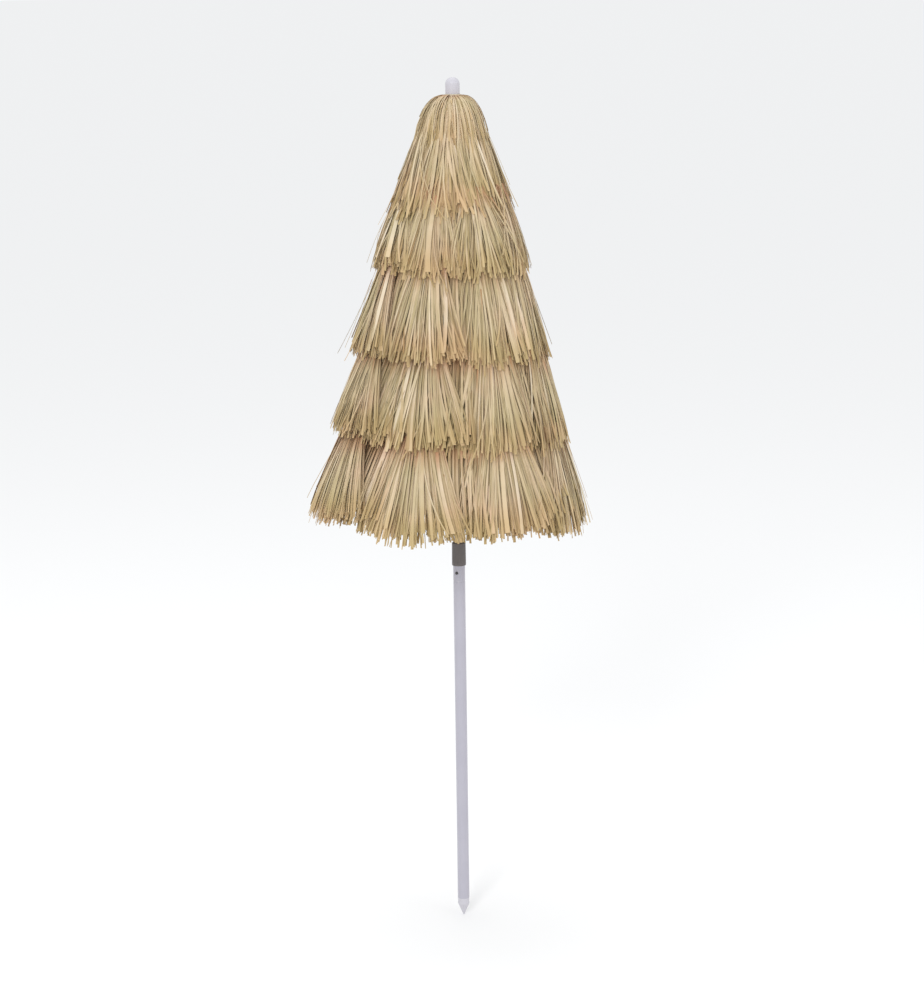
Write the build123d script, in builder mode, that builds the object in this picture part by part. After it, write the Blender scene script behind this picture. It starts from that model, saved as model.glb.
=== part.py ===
"""A thatched beach umbrella with eight ribs, standing folded, in millimetres.

+Z is up and the origin is the tip of the ground spike, on the pole's axis.
A rib lies on each axis and each diagonal, and a gore of cloth with its share
of the five thatch tiers lies between each pair of ribs. The fringe is the part
of the lowest tier that hangs below the hem; a narrow second row of it hangs at
each rib's end.
"""

import os
from math import asin, cos, degrees, radians, sin, sqrt, tan

from build123d import *

# ---- driving dimensions --------------------------------------------------
TOTAL_HEIGHT = 2000.0
RIB_COUNT = 8
RIB_LENGTH = 900.0  # from the crown pivot to the end of the rod
FOLDED_ANGLE = 9.2  # from the pole to the line between a rib's two pivots
OPENING_ANGLE = 58.0  # how far each rib swings out

# pole
LOWER_R, LOWER_WALL = 14.0, 1.0
UPPER_R, UPPER_WALL = 11.0, 1.0
TUBE_BOTTOM, TUBE_TOP = 43.0, 863.0  # the lower tube
UPPER_BOTTOM, UPPER_TOP = 684.0, 1955.0  # the upper tube
FOOT_R = 12.9  # guide bush on the foot of the upper tube
SLIDE_GAP = 0.1  # between the upper tube and the collar it slides in

# ground spike
SPIKE_TIP_R = 1.5
SPIKE_CONE = 27.0
SPIKE_BAND_R = 13.6
SPIKE_STEM = 40.0

# collar at the joint of the two tubes
COLLAR_R = 16.5
COLLAR_TOP = 920.0
SPIGOT_BOTTOM = 829.0
GROOVE_Z, GROOVE_WIDTH, GROOVE_DEPTH = 825.0, 3.0, 0.5

# snap button that locks the upper tube in the lower one
BUTTON_Z, BUTTON_R = 846.0, 3.5
BUTTON_REACH = 16.5
BUTTON_AZIMUTH = 246.0  # degrees from +X, a little to the left of the front
BUTTON_TRAVEL = 4.0

# hubs: the crown at the top of the tube and the runner that slides on it
PIVOT_R = 24.0
CROWN_Z = 1926.0
HUB_R = 28.0
RING_R = 1.5  # wire that carries the rib ends
EYE_HOLE_R = 1.6
EYE_R = 4.0
BLADE = 2.4  # flattened tube end
SLOT = 2.8
RUNNER_GAP = 0.3
RUNNER_SLEEVE_R = 16.0
RUNNER_DOWN = 58.0  # sleeve below the runner's pivots
NOTCH_HEIGHT, NOTCH_WIDTH = 14.0, 9.0

# ribs and stretchers
ROD_R, ROD_BORE = 2.5, 2.0
BLADE_LENGTH = 18.0
PIVOT_SPAN = 420.0  # crown pivot to bracket pivot, and a stretcher's length
BRACKET_DROP = 8.0  # bracket pivot below the rod's axis
PIN_R = 1.5
PIN_GAP = 0.1
CAP_R = 4.2

# spring catch that holds the runner up
CATCH_AZIMUTH = 292.5
CATCH_THICK = 3.0
CATCH_TRAVEL = 5.5

# cloth and thatch
CLOTH_ANGLE = 13.2  # folded cloth, from the pole
CLOTH_LIFT = 8.0  # cloth above the line through the crown pivots
CLOTH = 1.0
CLOTH_START, HEM = 30.0, 900.0  # from the crown pivots down the cloth
GORE_ARC = 44.0
TIER_SHIFT = (-3.3, -3.6)  # from the outer to the inner face of a tier
# each tier's outer line: root radius, root height, tip radius, tip height
TIERS = [
    (70.0, 1868.0, 150.0, 1712.0),
    (122.0, 1742.0, 180.0, 1576.0),
    (162.0, 1598.0, 230.0, 1370.0),
    (209.0, 1392.0, 275.0, 1154.0),
    (254.0, 1176.0, 328.0, 948.0),
]
WEB_RISE = 16.0  # a tier leaves the cloth this far above its root
HEM_GAP = 1.0  # between a gore's lowest tier and its fringe
ROW_INSET, ROW_ARC = 14.0, 5.0  # the second row, inside the fringe at a rib's end
ROW_TOP, ROW_BOTTOM = 1036.0, 958.0

# ---- derived dimensions --------------------------------------------------
ROD_TILT = degrees(asin(BRACKET_DROP / PIVOT_SPAN))
ROD_ANGLE = FOLDED_ANGLE + ROD_TILT
BRACKET_ALONG = sqrt(PIVOT_SPAN**2 - BRACKET_DROP**2)
RUNNER_Z = CROWN_Z - 2 * PIVOT_SPAN * cos(radians(FOLDED_ANGLE))
RUNNER_OPEN_Z = CROWN_Z - 2 * PIVOT_SPAN * cos(radians(FOLDED_ANGLE + OPENING_ANGLE))
CATCH_TOP = RUNNER_OPEN_Z - RUNNER_DOWN + NOTCH_HEIGHT - 1.0
STEP = 360.0 / RIB_COUNT


def outward(azimuth):
    """The horizontal direction at an azimuth, in degrees from +X."""
    return Vector(cos(radians(azimuth)), sin(radians(azimuth)), 0)


def radial_plane(azimuth):
    """The upright plane through the pole's axis, with x outward and y up."""
    e = outward(azimuth)
    return Plane(origin=(0, 0, 0), x_dir=e, z_dir=e.cross(Vector(0, 0, 1)))


def along(start, angle, distance, lift=0.0):
    """A point in a radial plane: distance down a line at an angle from the pole, then lifted off it."""
    a = radians(angle)
    return (
        start[0] + distance * sin(a) + lift * cos(a),
        start[1] - distance * cos(a) + lift * sin(a),
    )


def line_plane(azimuth, point, angle):
    """A plane at a point of a radial plane, square to a line at an angle from the pole."""
    base = radial_plane(azimuth)
    a = radians(angle)
    down = base.x_dir * sin(a) - base.y_dir * cos(a)
    return Plane(
        origin=base.from_local_coords(Vector(point[0], point[1], 0)),
        x_dir=base.z_dir,
        z_dir=down,
    )


def save(part, name):
    """Labels a finished piece and writes it as one STEP file."""
    part.label = name
    export_step(part, f"parts/{name}.step")


# ---- pole ----------------------------------------------------------------
def lower_tube():
    """The white tube that stands in the ground, with a rolled groove under the collar."""
    with BuildPart() as tube:
        with BuildSketch(Plane.XZ):
            with BuildLine():
                Polyline(
                    (LOWER_R - LOWER_WALL, TUBE_BOTTOM),
                    (LOWER_R, TUBE_BOTTOM),
                    (LOWER_R, GROOVE_Z - GROOVE_WIDTH / 2),
                    (LOWER_R - GROOVE_DEPTH, GROOVE_Z),
                    (LOWER_R, GROOVE_Z + GROOVE_WIDTH / 2),
                    (LOWER_R, TUBE_TOP),
                    (LOWER_R - LOWER_WALL, TUBE_TOP),
                    (LOWER_R - LOWER_WALL, GROOVE_Z + GROOVE_WIDTH / 2),
                    (LOWER_R - LOWER_WALL - GROOVE_DEPTH, GROOVE_Z),
                    (LOWER_R - LOWER_WALL, GROOVE_Z - GROOVE_WIDTH / 2),
                    close=True,
                )
            make_face()
        revolve(axis=Axis.Z)
        with BuildSketch(button_plane()):
            Circle(BUTTON_R + 0.2)
        extrude(amount=2 * COLLAR_R, mode=Mode.SUBTRACT)
    save(tube.part, "lower_tube")


def button_plane():
    """The plane through the pole's axis, square to the snap button's axis."""
    e = outward(BUTTON_AZIMUTH)
    return Plane(origin=(0, 0, BUTTON_Z), x_dir=Vector(0, 0, 1), z_dir=e)


def ground_spike():
    """The moulded point that is pushed into the sand, with a ribbed stem inside the tube."""
    stem_r = LOWER_R - LOWER_WALL
    with BuildPart() as spike:
        with BuildSketch(Plane.XZ):
            with BuildLine():
                tip = (SPIKE_TIP_R, SPIKE_TIP_R * 0.4)
                Polyline(
                    (0, 0),
                    tip,
                    (SPIKE_BAND_R - 1.2, SPIKE_CONE - 1.0),
                    (SPIKE_BAND_R, SPIKE_CONE + 1.2),
                    (SPIKE_BAND_R, SPIKE_CONE + 6.0),
                    (SPIKE_BAND_R - 0.8, SPIKE_CONE + 7.0),
                    (SPIKE_BAND_R - 0.8, SPIKE_CONE + 8.0),
                    (SPIKE_BAND_R, SPIKE_CONE + 9.0),
                    (SPIKE_BAND_R, TUBE_BOTTOM),
                    (stem_r, TUBE_BOTTOM),
                    (stem_r, TUBE_BOTTOM + SPIKE_STEM - 4.0),
                    (stem_r - 2.0, TUBE_BOTTOM + SPIKE_STEM),
                    (0, TUBE_BOTTOM + SPIKE_STEM),
                    close=True,
                )
            make_face()
        revolve(axis=Axis.Z)
        # four flutes lighten the stem
        with BuildSketch(Plane.XY.offset(TUBE_BOTTOM + 6.0)):
            with PolarLocations(stem_r, 4):
                Circle(4.0)
        extrude(amount=SPIKE_STEM, mode=Mode.SUBTRACT)
    save(spike.part, "ground_spike")


def pole_collar():
    """The plastic collar that plugs into the lower tube and guides the upper one."""
    bore = UPPER_R + SLIDE_GAP
    with BuildPart() as collar:
        with BuildSketch(Plane.XZ):
            with BuildLine():
                Polyline(
                    (bore, SPIGOT_BOTTOM),
                    (LOWER_R - LOWER_WALL - 0.8, SPIGOT_BOTTOM),
                    (LOWER_R - LOWER_WALL, SPIGOT_BOTTOM + 3.0),
                    (LOWER_R - LOWER_WALL, TUBE_TOP),
                    (COLLAR_R - 0.8, TUBE_TOP),
                    (COLLAR_R, TUBE_TOP + 1.5),
                    (COLLAR_R - 0.4, COLLAR_TOP - 4.0),
                    (COLLAR_R - 3.2, COLLAR_TOP),
                    (bore + 0.8, COLLAR_TOP),
                    (bore, COLLAR_TOP - 1.2),
                    close=True,
                )
            make_face()
        revolve(axis=Axis.Z)
        with BuildSketch(button_plane()):
            Circle(BUTTON_R + 0.2)
        extrude(amount=2 * COLLAR_R, mode=Mode.SUBTRACT)
        # grip flutes round the head
        with BuildSketch(Plane.XY.offset(TUBE_TOP + 8.0)):
            with PolarLocations(COLLAR_R + 1.4, 16, start_angle=STEP / 4):
                Circle(2.0)
        extrude(amount=34.0, mode=Mode.SUBTRACT)
    save(collar.part, "pole_collar")


def upper_tube():
    """The thinner tube that carries the canopy, with its button hole and catch slot."""
    with BuildPart() as tube:
        with BuildSketch(Plane.XY.offset(UPPER_BOTTOM)):
            Circle(UPPER_R)
            Circle(UPPER_R - UPPER_WALL, mode=Mode.SUBTRACT)
        extrude(amount=UPPER_TOP - UPPER_BOTTOM)
        with BuildSketch(button_plane()):
            Circle(BUTTON_R + 0.2)
        extrude(amount=2 * UPPER_R, mode=Mode.SUBTRACT)
        e = outward(CATCH_AZIMUTH)
        slot = Plane(origin=(0, 0, CATCH_TOP - 13.0), x_dir=e.cross(Vector(0, 0, 1)), z_dir=e)
        with BuildSketch(slot):
            Rectangle(CATCH_THICK + 0.4, 30.0)
        extrude(amount=2 * UPPER_R, mode=Mode.SUBTRACT)
    save(tube.part, "upper_tube")


def upper_foot():
    """The plastic bush that plugs the foot of the upper tube and centres it in the lower one."""
    plug_r = UPPER_R - UPPER_WALL
    with BuildPart() as foot:
        with BuildSketch(Plane.XZ):
            with BuildLine():
                Polyline(
                    (0, UPPER_BOTTOM - 5.0),
                    (FOOT_R - 1.0, UPPER_BOTTOM - 5.0),
                    (FOOT_R, UPPER_BOTTOM - 4.0),
                    (FOOT_R, UPPER_BOTTOM + 24.0),
                    (FOOT_R - 1.0, UPPER_BOTTOM + 25.0),
                    (UPPER_R, UPPER_BOTTOM + 25.0),
                    (UPPER_R, UPPER_BOTTOM),
                    (plug_r, UPPER_BOTTOM),
                    (plug_r, UPPER_BOTTOM + 18.0),
                    (plug_r - 1.5, UPPER_BOTTOM + 20.0),
                    (0, UPPER_BOTTOM + 20.0),
                    close=True,
                )
            make_face()
        revolve(axis=Axis.Z)
    save(foot.part, "upper_foot")


def snap_button():
    """The domed button, in its own axis through both tubes."""
    start = 6.0
    e = outward(BUTTON_AZIMUTH)
    with BuildPart() as button:
        with BuildSketch(button_plane().offset(start)):
            Circle(BUTTON_R)
        extrude(amount=BUTTON_REACH - start)
        head = button.faces().sort_by(Axis(origin=(0, 0, BUTTON_Z), direction=e))[-1]
        fillet(head.edges(), 1.6)
        with BuildSketch(button_plane().offset(start)):
            Circle(BUTTON_R + 1.6)
        extrude(amount=1.2)
    save(button.part, "snap_button")


def leaf_spring(azimuth, height, inner, top):
    """A bent steel strip inside the upper tube, from its far wall to the back of a button or catch."""
    strip, width = 0.6, 6.0
    wall = UPPER_R - UPPER_WALL - 0.6
    with BuildPart() as spring:
        with BuildSketch(radial_plane(azimuth)):
            with BuildLine():
                Polyline(
                    (inner, height),
                    (inner, height + 6.0),
                    (0, top),
                    (-wall, height + 6.0),
                    (-wall, height - 6.0),
                    (strip - wall, height - 6.0),
                    (strip - wall, height + 6.0),
                    (0, top - 3 * strip),
                    (inner - strip, height + 6.0),
                    (inner - strip, height),
                    close=True,
                )
            make_face()
        extrude(amount=width / 2, both=True)
    return spring.part


def leaf_springs():
    """The two springs inside the upper tube: the snap button's and the catch's."""
    button = leaf_spring(BUTTON_AZIMUTH, BUTTON_Z, 6.0, BUTTON_Z + 34.0)
    catch = leaf_spring(CATCH_AZIMUTH, CATCH_TOP - 10.0, 4.5, CATCH_TOP + 30.0)
    save(Compound(children=[button, catch]), "leaf_springs")


def runner_catch():
    """The wedge that sticks out of the tube and holds the runner up."""
    top = CATCH_TOP
    with BuildPart() as catch:
        with BuildSketch(radial_plane(CATCH_AZIMUTH)):
            with BuildLine():
                Polyline(
                    (4.5, top - 27.0),
                    (UPPER_R - UPPER_WALL - 0.3, top - 27.0),
                    (UPPER_R, top - 24.0),
                    (UPPER_R + 5.0, top - 4.0),
                    (UPPER_R + 5.0, top),
                    (UPPER_R - UPPER_WALL - 0.3, top),
                    (UPPER_R - UPPER_WALL - 0.3, top + 6.0),
                    (4.5, top + 6.0),
                    close=True,
                )
            make_face()
        extrude(amount=CATCH_THICK / 2, both=True)
    save(catch.part, "runner_catch")


# ---- hubs ----------------------------------------------------------------
def slot_cutter(low, high):
    """The space of the eight slots that the flattened tube ends swing in."""
    inner = PIVOT_R - EYE_R - 0.6
    with BuildPart() as cutter:
        with BuildSketch(Plane.XY.offset(low)):
            with PolarLocations((inner + HUB_R + 2.0) / 2, RIB_COUNT):
                Rectangle(HUB_R + 2.0 - inner, SLOT)
        extrude(amount=high - low)
    return cutter.part


def groove_cutter(height, open_to):
    """The space of the round-bottomed groove that the ring wire is laid in."""
    with BuildPart() as cutter:
        with BuildSketch(Plane.XZ):
            with Locations((PIVOT_R, height)):
                Circle(RING_R)
            with Locations((PIVOT_R, (height + open_to) / 2)):
                Rectangle(2 * RING_R, abs(open_to - height))
        revolve(axis=Axis.Z)
    return cutter.part


def ring_wire(height):
    """The ring of wire that the rib or stretcher ends turn on."""
    with BuildPart() as ring:
        with BuildSketch(Plane.XZ):
            with Locations((PIVOT_R, height)):
                Circle(RING_R)
        revolve(axis=Axis.Z)
    return ring.part


def crown_hub():
    """The moulded hub on top of the upper tube, slotted underneath for the ribs, and its ring wire."""
    low, high = CROWN_Z - 8.0, CROWN_Z + 10.0
    slots = slot_cutter(low - 1.0, CROWN_Z + EYE_R + 0.6)
    groove = groove_cutter(CROWN_Z, high + 1.0)
    with BuildPart() as hub:
        with BuildSketch(Plane.XZ):
            with BuildLine():
                Polyline(
                    (UPPER_R, low - 14.0),
                    (UPPER_R + 4.0, low - 14.0),
                    (UPPER_R + 5.0, low),
                    (HUB_R, low),
                    (HUB_R, high - 3.0),
                    (HUB_R - 3.0, high),
                    (UPPER_R, high),
                    close=True,
                )
            make_face()
        revolve(axis=Axis.Z)
        add(slots, mode=Mode.SUBTRACT)
        add(groove, mode=Mode.SUBTRACT)
    save(Compound(children=[hub.part, ring_wire(CROWN_Z)]), "crown_hub")


def runner():
    """The sliding sleeve, slotted on top for the stretchers and notched for the catch, and its ring wire."""
    low, high = RUNNER_Z - 10.0, RUNNER_Z + 8.0
    foot = RUNNER_Z - RUNNER_DOWN
    bore = UPPER_R + RUNNER_GAP
    slots = slot_cutter(RUNNER_Z - EYE_R - 0.6, high + 1.0)
    groove = groove_cutter(RUNNER_Z, low - 1.0)
    with BuildPart() as body:
        with BuildSketch(Plane.XZ):
            with BuildLine():
                Polyline(
                    (bore + 0.8, foot),
                    (RUNNER_SLEEVE_R + 3.0, foot),
                    (RUNNER_SLEEVE_R + 3.0, foot + 5.0),
                    (RUNNER_SLEEVE_R, foot + 8.0),
                    (RUNNER_SLEEVE_R, low - 5.0),
                    (RUNNER_SLEEVE_R + 4.0, low),
                    (HUB_R, low),
                    (HUB_R, high),
                    (UPPER_R + 5.5, high),
                    (UPPER_R + 4.0, high + 5.0),
                    (bore, high + 5.0),
                    (bore, foot + 0.8),
                    close=True,
                )
            make_face()
        revolve(axis=Axis.Z)
        add(slots, mode=Mode.SUBTRACT)
        add(groove, mode=Mode.SUBTRACT)
        e = outward(CATCH_AZIMUTH)
        notch = Plane(origin=(0, 0, foot + NOTCH_HEIGHT / 2), x_dir=e.cross(Vector(0, 0, 1)), z_dir=e)
        with BuildSketch(notch):
            Rectangle(NOTCH_WIDTH, NOTCH_HEIGHT)
        extrude(amount=RUNNER_SLEEVE_R + 5.0, mode=Mode.SUBTRACT)
    save(Compound(children=[body.part, ring_wire(RUNNER_Z)]), "runner")


# ---- top of the canopy ---------------------------------------------------
CLOTH_TOP_Z = CROWN_Z + 11.0
TUFT_TOP_Z = UPPER_TOP + 3.5
WASHER = 3.5


def canopy_top():
    """The cloth disc on the crown hub, the bunch of raffia tied over it, and the washer on top."""
    low = CLOTH_TOP_Z + CLOTH + 0.3
    with BuildPart() as disc:
        with BuildSketch(Plane.XY.offset(CLOTH_TOP_Z)):
            Circle(34.0)
            Circle(UPPER_R + 0.3, mode=Mode.SUBTRACT)
        extrude(amount=CLOTH)
    with BuildPart() as tuft:
        with BuildSketch(Plane.XZ):
            with BuildLine():
                Polyline(
                    (UPPER_R + 0.3, low),
                    (50.0, low),
                    (69.0, CROWN_Z + 4.0),
                    (72.0, CROWN_Z + 8.0),
                    (58.0, CROWN_Z + 20.0),
                    (40.0, CROWN_Z + 28.0),
                    (22.0, TUFT_TOP_Z),
                    (UPPER_R + 0.3, TUFT_TOP_Z),
                    close=True,
                )
            make_face()
        revolve(axis=Axis.Z)
    with BuildPart() as washer:
        with BuildSketch(Plane.XY.offset(TUFT_TOP_Z)):
            Circle(19.5)
            Circle(UPPER_R - UPPER_WALL, mode=Mode.SUBTRACT)
        extrude(amount=WASHER)
        fillet(washer.faces().sort_by(Axis.Z)[-1].outer_wire().edges(), 1.0)
    save(Compound(children=[disc.part, tuft.part, washer.part]), "canopy_top")


def finial():
    """The domed cap, whose stem plugs into the upper tube."""
    low = TUFT_TOP_Z + WASHER
    r = 16.5
    stem_r = UPPER_R - UPPER_WALL
    with BuildPart() as cap:
        with BuildSketch(Plane.XY.offset(low)):
            Circle(r)
        extrude(amount=TOTAL_HEIGHT - low)
        fillet(cap.faces().sort_by(Axis.Z)[-1].edges(), 15.3)
        fillet(cap.faces().sort_by(Axis.Z)[0].edges(), 0.8)
        with BuildSketch(Plane.XY.offset(low - 36.0)):
            Circle(stem_r)
        extrude(amount=37.0)
        chamfer(cap.faces().sort_by(Axis.Z)[0].edges(), 1.5)
    save(cap.part, "finial")


# ---- ribs and stretchers -------------------------------------------------
def eye_blade(azimuth, point, angle, hole):
    """A flattened tube end with a round eye, in the radial plane, running down from a pivot."""
    with BuildPart() as blade:
        with BuildSketch(radial_plane(azimuth)):
            with Locations(point):
                Circle(EYE_R)
            with Locations(Location(along(point, angle, BLADE_LENGTH / 2), angle)):
                Rectangle(2 * EYE_R, BLADE_LENGTH)
            with Locations(point):
                Circle(hole, mode=Mode.SUBTRACT)
        extrude(amount=BLADE / 2, both=True)
    return blade.part


def rib(number, azimuth):
    """One steel rib: a tube with a flattened eye at the crown."""
    crown = (PIVOT_R, CROWN_Z)
    tube_start = BLADE_LENGTH - 4.0
    bore_start = BLADE_LENGTH + 4.0
    blade = eye_blade(azimuth, crown, ROD_ANGLE, EYE_HOLE_R)
    with BuildPart() as rod:
        with BuildSketch(line_plane(azimuth, along(crown, ROD_ANGLE, tube_start), ROD_ANGLE)):
            Circle(ROD_R)
        extrude(amount=RIB_LENGTH - tube_start)
        add(blade)
        with BuildSketch(line_plane(azimuth, along(crown, ROD_ANGLE, bore_start), ROD_ANGLE)):
            Circle(ROD_BORE)
        extrude(amount=RIB_LENGTH - bore_start, mode=Mode.SUBTRACT)
    save(rod.part, f"rib_{number}")


def rib_fittings(number, azimuth):
    """The bracket clipped on a rib, its pivot pin, and the cap on the rib's end, as separate solids."""
    crown = (PIVOT_R, CROWN_Z)
    middle = along(crown, ROD_ANGLE, BRACKET_ALONG)
    pivot = along(crown, ROD_ANGLE, BRACKET_ALONG, -BRACKET_DROP)
    half = 9.0
    with BuildPart() as bracket:
        with BuildSketch(radial_plane(azimuth)):
            with BuildLine():
                Polyline(
                    along(middle, ROD_ANGLE, -half, 4.0),
                    along(middle, ROD_ANGLE, half, 4.0),
                    along(middle, ROD_ANGLE, half, -3.6),
                    along(middle, ROD_ANGLE, 4.2, -BRACKET_DROP - 1.0),
                    along(middle, ROD_ANGLE, -4.2, -BRACKET_DROP - 1.0),
                    along(middle, ROD_ANGLE, -half, -3.6),
                    close=True,
                )
            make_face()
            with Locations(pivot):
                Circle(4.4)
        extrude(amount=2.9, both=True)
        with BuildSketch(line_plane(azimuth, along(middle, ROD_ANGLE, -half - 1.0), ROD_ANGLE)):
            Circle(ROD_R)
        extrude(amount=2 * half + 2.0, mode=Mode.SUBTRACT)
        with BuildSketch(radial_plane(azimuth)):
            with Locations(Location(along(middle, ROD_ANGLE, 0, -3.2 - 6.0), ROD_ANGLE)):
                Rectangle(12.0, 2 * half + 2.0)
        extrude(amount=SLOT / 2, both=True, mode=Mode.SUBTRACT)
        with BuildSketch(radial_plane(azimuth)):
            with Locations(pivot):
                Circle(PIN_R)
        extrude(amount=4.0, both=True, mode=Mode.SUBTRACT)
    with BuildPart() as pin:
        with BuildSketch(radial_plane(azimuth)):
            with Locations(pivot):
                Circle(PIN_R)
        extrude(amount=2.9, both=True)
        for side in (1, -1):
            with BuildSketch(radial_plane(azimuth).offset(side * 2.9)):
                with Locations(pivot):
                    Circle(2.5)
            extrude(amount=side * 0.8)
    with BuildPart() as cap:
        start = RIB_LENGTH - 12.0
        with BuildSketch(line_plane(azimuth, along(crown, ROD_ANGLE, start), ROD_ANGLE)):
            Circle(CAP_R)
        extrude(amount=18.0)
        fillet(cap.edges().filter_by(GeomType.CIRCLE), 1.2)
        with BuildSketch(line_plane(azimuth, along(crown, ROD_ANGLE, start), ROD_ANGLE)):
            Circle(ROD_R)
        extrude(amount=12.0, mode=Mode.SUBTRACT)
    save(Compound(children=[bracket.part, pin.part, cap.part]), f"rib_fittings_{number}")


def stretcher(number, azimuth):
    """One stretcher, from its rib's bracket down to the runner, with an eye at each end."""
    bracket = along((PIVOT_R, CROWN_Z), ROD_ANGLE, BRACKET_ALONG, -BRACKET_DROP)
    at_runner = (PIVOT_R, RUNNER_Z)
    angle = -FOLDED_ANGLE
    inset = BLADE_LENGTH - 4.0
    upper_blade = eye_blade(azimuth, bracket, angle, PIN_R + PIN_GAP)
    lower_blade = eye_blade(azimuth, at_runner, angle + 180.0, EYE_HOLE_R)
    with BuildPart() as bar:
        with BuildSketch(line_plane(azimuth, along(bracket, angle, inset), angle)):
            Circle(ROD_R)
        extrude(amount=PIVOT_SPAN - 2 * inset)
        add(upper_blade)
        add(lower_blade)
    save(bar.part, f"stretcher_{number}")


# ---- cloth and thatch ----------------------------------------------------
def cloth_radius(height):
    """Outer radius of the folded cloth at a height."""
    lift = CLOTH_LIFT + CLOTH
    a = radians(CLOTH_ANGLE)
    return PIVOT_R + lift / cos(a) + (CROWN_Z - height) * tan(a)


def tier_outline(root_r, root_z, tip_r, tip_z):
    """The outline of one tier in a radial plane, from the cloth out and down to its tip and back."""
    shift_r, shift_z = TIER_SHIFT
    web_z = root_z + WEB_RISE
    web_r = cloth_radius(web_z + shift_z) + 0.3 - shift_r
    outer = [(web_r, web_z), (root_r, root_z), (tip_r, tip_z)]
    inner = [(r + shift_r, z + shift_z) for r, z in reversed(outer)]
    return outer + inner


def hem_block(azimuth, side):
    """All the space above (side -1) or below (side 1) the plane square to a gore at its hem."""
    hem = along((PIVOT_R, CROWN_Z), CLOTH_ANGLE, HEM + side * HEM_GAP / 2)
    with BuildPart() as block:
        with BuildSketch(line_plane(azimuth, hem, CLOTH_ANGLE)):
            Rectangle(1200.0, 1200.0)
        extrude(amount=side * 1200.0)
    return block.part


def gore(number, azimuth):
    """One gore of cloth, folded, with its share of the five thatch tiers down to the hem."""
    start = (PIVOT_R, CROWN_Z)
    above = hem_block(azimuth, -1)
    with BuildPart() as cloth:
        with BuildSketch(radial_plane(azimuth - GORE_ARC / 2)):
            with BuildLine():
                Polyline(
                    along(start, CLOTH_ANGLE, CLOTH_START, CLOTH_LIFT),
                    along(start, CLOTH_ANGLE, CLOTH_START, CLOTH_LIFT + CLOTH),
                    along(start, CLOTH_ANGLE, HEM, CLOTH_LIFT + CLOTH),
                    along(start, CLOTH_ANGLE, HEM, CLOTH_LIFT),
                    close=True,
                )
            make_face()
        revolve(axis=Axis.Z, revolution_arc=GORE_ARC)
    pieces = [cloth.part]
    for tier in TIERS:
        with BuildPart() as shell:
            with BuildSketch(radial_plane(azimuth - GORE_ARC / 2)):
                with BuildLine():
                    Polyline(*tier_outline(*tier), close=True)
                make_face()
            revolve(axis=Axis.Z, revolution_arc=GORE_ARC)
            add(above, mode=Mode.INTERSECT)
        pieces.append(shell.part)
    save(Compound(children=pieces), f"gore_{number}")


def fringe(number, azimuth):
    """The end of a gore's lowest tier, which hangs below the hem."""
    below = hem_block(azimuth, 1)
    with BuildPart() as shell:
        with BuildSketch(radial_plane(azimuth - GORE_ARC / 2)):
            with BuildLine():
                Polyline(*tier_outline(*TIERS[-1]), close=True)
            make_face()
        revolve(axis=Axis.Z, revolution_arc=GORE_ARC)
        add(below, mode=Mode.INTERSECT)
    save(shell.part, f"fringe_{number}")


def rib_fringe(number, azimuth):
    """The narrow second row of fringe at a rib's end."""
    (top_r, top_z), (tip_r, tip_z) = TIERS[-1][:2], TIERS[-1][2:]
    slope = (tip_r - top_r) / (top_z - tip_z)
    high = top_r + slope * (top_z - ROW_TOP) - ROW_INSET
    low = top_r + slope * (top_z - ROW_BOTTOM) - ROW_INSET
    with BuildPart() as row:
        with BuildSketch(radial_plane(azimuth - ROW_ARC / 2)):
            with BuildLine():
                Polyline(
                    (high, ROW_TOP),
                    (low, ROW_BOTTOM),
                    (low - 4.0, ROW_BOTTOM),
                    (high - 4.0, ROW_TOP),
                    close=True,
                )
            make_face()
        revolve(axis=Axis.Z, revolution_arc=ROW_ARC)
    save(row.part, f"rib_fringe_{number}")


os.makedirs("parts", exist_ok=True)

lower_tube()
ground_spike()
pole_collar()
upper_tube()
upper_foot()
snap_button()
runner_catch()
leaf_springs()
crown_hub()
runner()
canopy_top()
finial()
for n in range(1, RIB_COUNT + 1):
    rib_azimuth = 270.0 + (n - 1) * STEP
    rib(n, rib_azimuth)
    rib_fittings(n, rib_azimuth)
    stretcher(n, rib_azimuth)
    rib_fringe(n, rib_azimuth)
    gore(n, rib_azimuth + STEP / 2)
    fringe(n, rib_azimuth + STEP / 2)
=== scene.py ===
"""The looks of a folded beach umbrella with a thatched canopy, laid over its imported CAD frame."""

import logging
import math
import random
from dataclasses import dataclass, field, replace
from enum import Enum
from typing import Callable, Iterable, Sequence

import bmesh
import bpy
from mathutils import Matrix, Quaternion, Vector


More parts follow.
